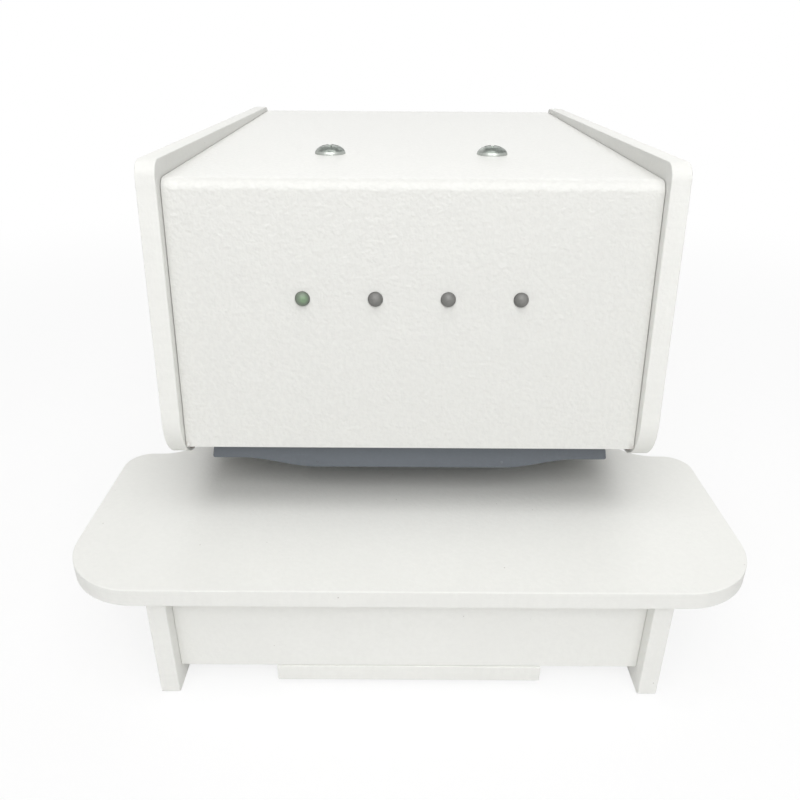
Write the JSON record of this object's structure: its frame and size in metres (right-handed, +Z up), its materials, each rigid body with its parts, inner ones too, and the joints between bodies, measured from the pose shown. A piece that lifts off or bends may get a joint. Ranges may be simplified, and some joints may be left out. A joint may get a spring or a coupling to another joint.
{
  "type": "electric stapler",
  "caption": "Desk-top motor-driven stapler: white board side plates, a hinged sheet cover with lamps, a wide worktable and a cam press over an anvil.",
  "frame": {"origin": "middle of the outline on the surface it stands on", "axes": "+X to the right seen from the front, +Y to the back, +Z up"},
  "size_m": [0.289, 0.334, 0.2129],
  "materials": {
    "white_board": "milled foam board",
    "white_powder": "fine textured powder coat",
    "dark_plastic": "moulded",
    "black_plastic": "moulded",
    "white_plastic": "moulded",
    "bright_steel": "polished",
    "plain_steel": "ground",
    "aluminium": "satin",
    "brass": "turned",
    "green_lens": "diffusing lens",
    "smoked_lens": "diffusing lens",
    "circuit_board": "solder mask"
  },
  "bodies": {
    "frame": {"side_plate_left": "white_board", "side_plate_right": "white_board", "mechanism_plate_left": "plain_steel", "mechanism_plate_right": "plain_steel", "guide_rod_left": "bright_steel", "guide_rod_right": "bright_steel", "cam_bush_left": "brass", "cam_bush_right": "brass", "fastener_socket_left": "aluminium", "fastener_socket_right": "aluminium", "return_spring_left": "plain_steel", "return_spring_right": "plain_steel", "worktable": "white_board", "anvil_plate": "bright_steel", "base_front_panel": "white_board", "bottom_plate": "white_board", "paper_stop": "white_board", "inner_shelf": "white_board", "rear_panel": "white_board", "mains_inlet": "black_plastic", "switch_frame": "black_plastic", "bridge_plate": "plain_steel", "gearbox": "aluminium", "motor": "plain_steel", "cover_hinge_rod": "bright_steel", "trigger_bracket": "plain_steel", "paper_switch": "black_plastic", "power_supply": "aluminium", "control_board": "circuit_board"},
    "cover": {"cover": "white_powder", "lamp_1": "green_lens", "lamp_2": "smoked_lens", "lamp_3": "smoked_lens", "lamp_4": "smoked_lens", "lamp_board": "circuit_board"},
    "cover_fastener_left": {"cover_fastener_left": "bright_steel"},
    "cover_fastener_right": {"cover_fastener_right": "bright_steel"},
    "press_head": {"press_carriage": "aluminium", "nose_bar": "dark_plastic", "magazine_left": "plain_steel", "magazine_right": "plain_steel", "staple_strip_left": "bright_steel", "staple_strip_right": "bright_steel", "pusher_spring_left": "plain_steel", "pusher_spring_right": "plain_steel", "drive_spring_left": "plain_steel", "drive_spring_right": "plain_steel"},
    "pusher_left": {"staple_pusher_left": "black_plastic"},
    "pusher_right": {"staple_pusher_right": "black_plastic"},
    "driver": {"driver_bar": "plain_steel", "driver_blade_left": "bright_steel", "driver_blade_right": "bright_steel", "roller_pin": "bright_steel"},
    "roller": {"cam_roller": "bright_steel"},
    "cam_shaft": {"cam_shaft": "bright_steel", "drive_cam": "plain_steel", "cam_gear": "plain_steel"},
    "motor_pinion": {"motor_pinion": "brass"},
    "paper_trigger": {"paper_trigger": "white_plastic"},
    "power_rocker": {"power_rocker": "black_plastic"}
  },
  "joints": [
    {"name": "cover_hinge", "type": "hinge", "parent": "frame", "child": "cover", "pos_m": [0, 0.1625, 0.2009], "axis": [-1, 0, 0], "range_deg": [0, 80]},
    {"name": "cam_spin", "type": "hinge", "parent": "frame", "child": "cam_shaft", "pos_m": [0, -0.023, 0.148], "axis": [1, 0, 0], "range_deg": [0, 144]},
    {"name": "pinion_spin", "type": "hinge", "parent": "frame", "child": "motor_pinion", "pos_m": [0, 0.01859, 0.14216], "axis": [1, 0, 0], "range_deg": [-360, 0]},
    {"name": "press_slide", "type": "slide", "parent": "frame", "child": "press_head", "axis": [0, 0, -1], "range_m": [0, 0.016], "stiffness_N_per_m": 350, "springref_m": -0.06, "deforming": ["return_spring_left", "return_spring_right"]},
    {"name": "drive_slide", "type": "slide", "parent": "press_head", "child": "driver", "axis": [0, 0, -1], "range_m": [0, 0.008], "stiffness_N_per_m": 600, "springref_m": -0.02, "deforming": ["drive_spring_left", "drive_spring_right"]},
    {"name": "roller_spin", "type": "hinge", "parent": "driver", "child": "roller", "pos_m": [0, -0.023, 0.13], "axis": [1, 0, 0], "continuous": true},
    {"name": "trigger_hinge", "type": "hinge", "parent": "frame", "child": "paper_trigger", "pos_m": [0, -0.034, 0.046], "axis": [-1, 0, 0], "range_deg": [0, 16], "stiffness_Nm_per_rad": 0.004, "springref_deg": -20.05},
    {"name": "rocker_hinge", "type": "hinge", "parent": "frame", "child": "power_rocker", "pos_m": [-0.006, 0.16, 0.032], "axis": [-1, 0, 0], "range_deg": [0, 24]},
    {"name": "pusher_left_slide", "type": "slide", "parent": "press_head", "child": "pusher_left", "axis": [0, 1, 0], "range_m": [0, 0.04], "stiffness_N_per_m": 25, "springref_m": -0.03, "deforming": ["pusher_spring_left"]},
    {"name": "fastener_left_turn", "type": "hinge", "parent": "cover", "child": "cover_fastener_left", "pos_m": [-0.038, -0.032, 0.2057], "axis": [0, 0, 1], "range_deg": [0, 90]},
    {"name": "pusher_right_slide", "type": "slide", "parent": "press_head", "child": "pusher_right", "axis": [0, 1, 0], "range_m": [0, 0.04], "stiffness_N_per_m": 25, "springref_m": -0.03, "deforming": ["pusher_spring_right"]},
    {"name": "fastener_right_turn", "type": "hinge", "parent": "cover", "child": "cover_fastener_right", "pos_m": [0.038, -0.032, 0.2057], "axis": [0, 0, 1], "range_deg": [0, 90]}
  ],
  "couplings": [
    {"joint": "pinion_spin", "follows": "cam_spin", "ratio": -2.5},
    {"joint": "press_slide", "follows": "cam_spin", "m_per_rad": 0.0063661},
    {"joint": "drive_slide", "follows": "cam_spin", "m_per_rad": 0.0031831}
  ]
}
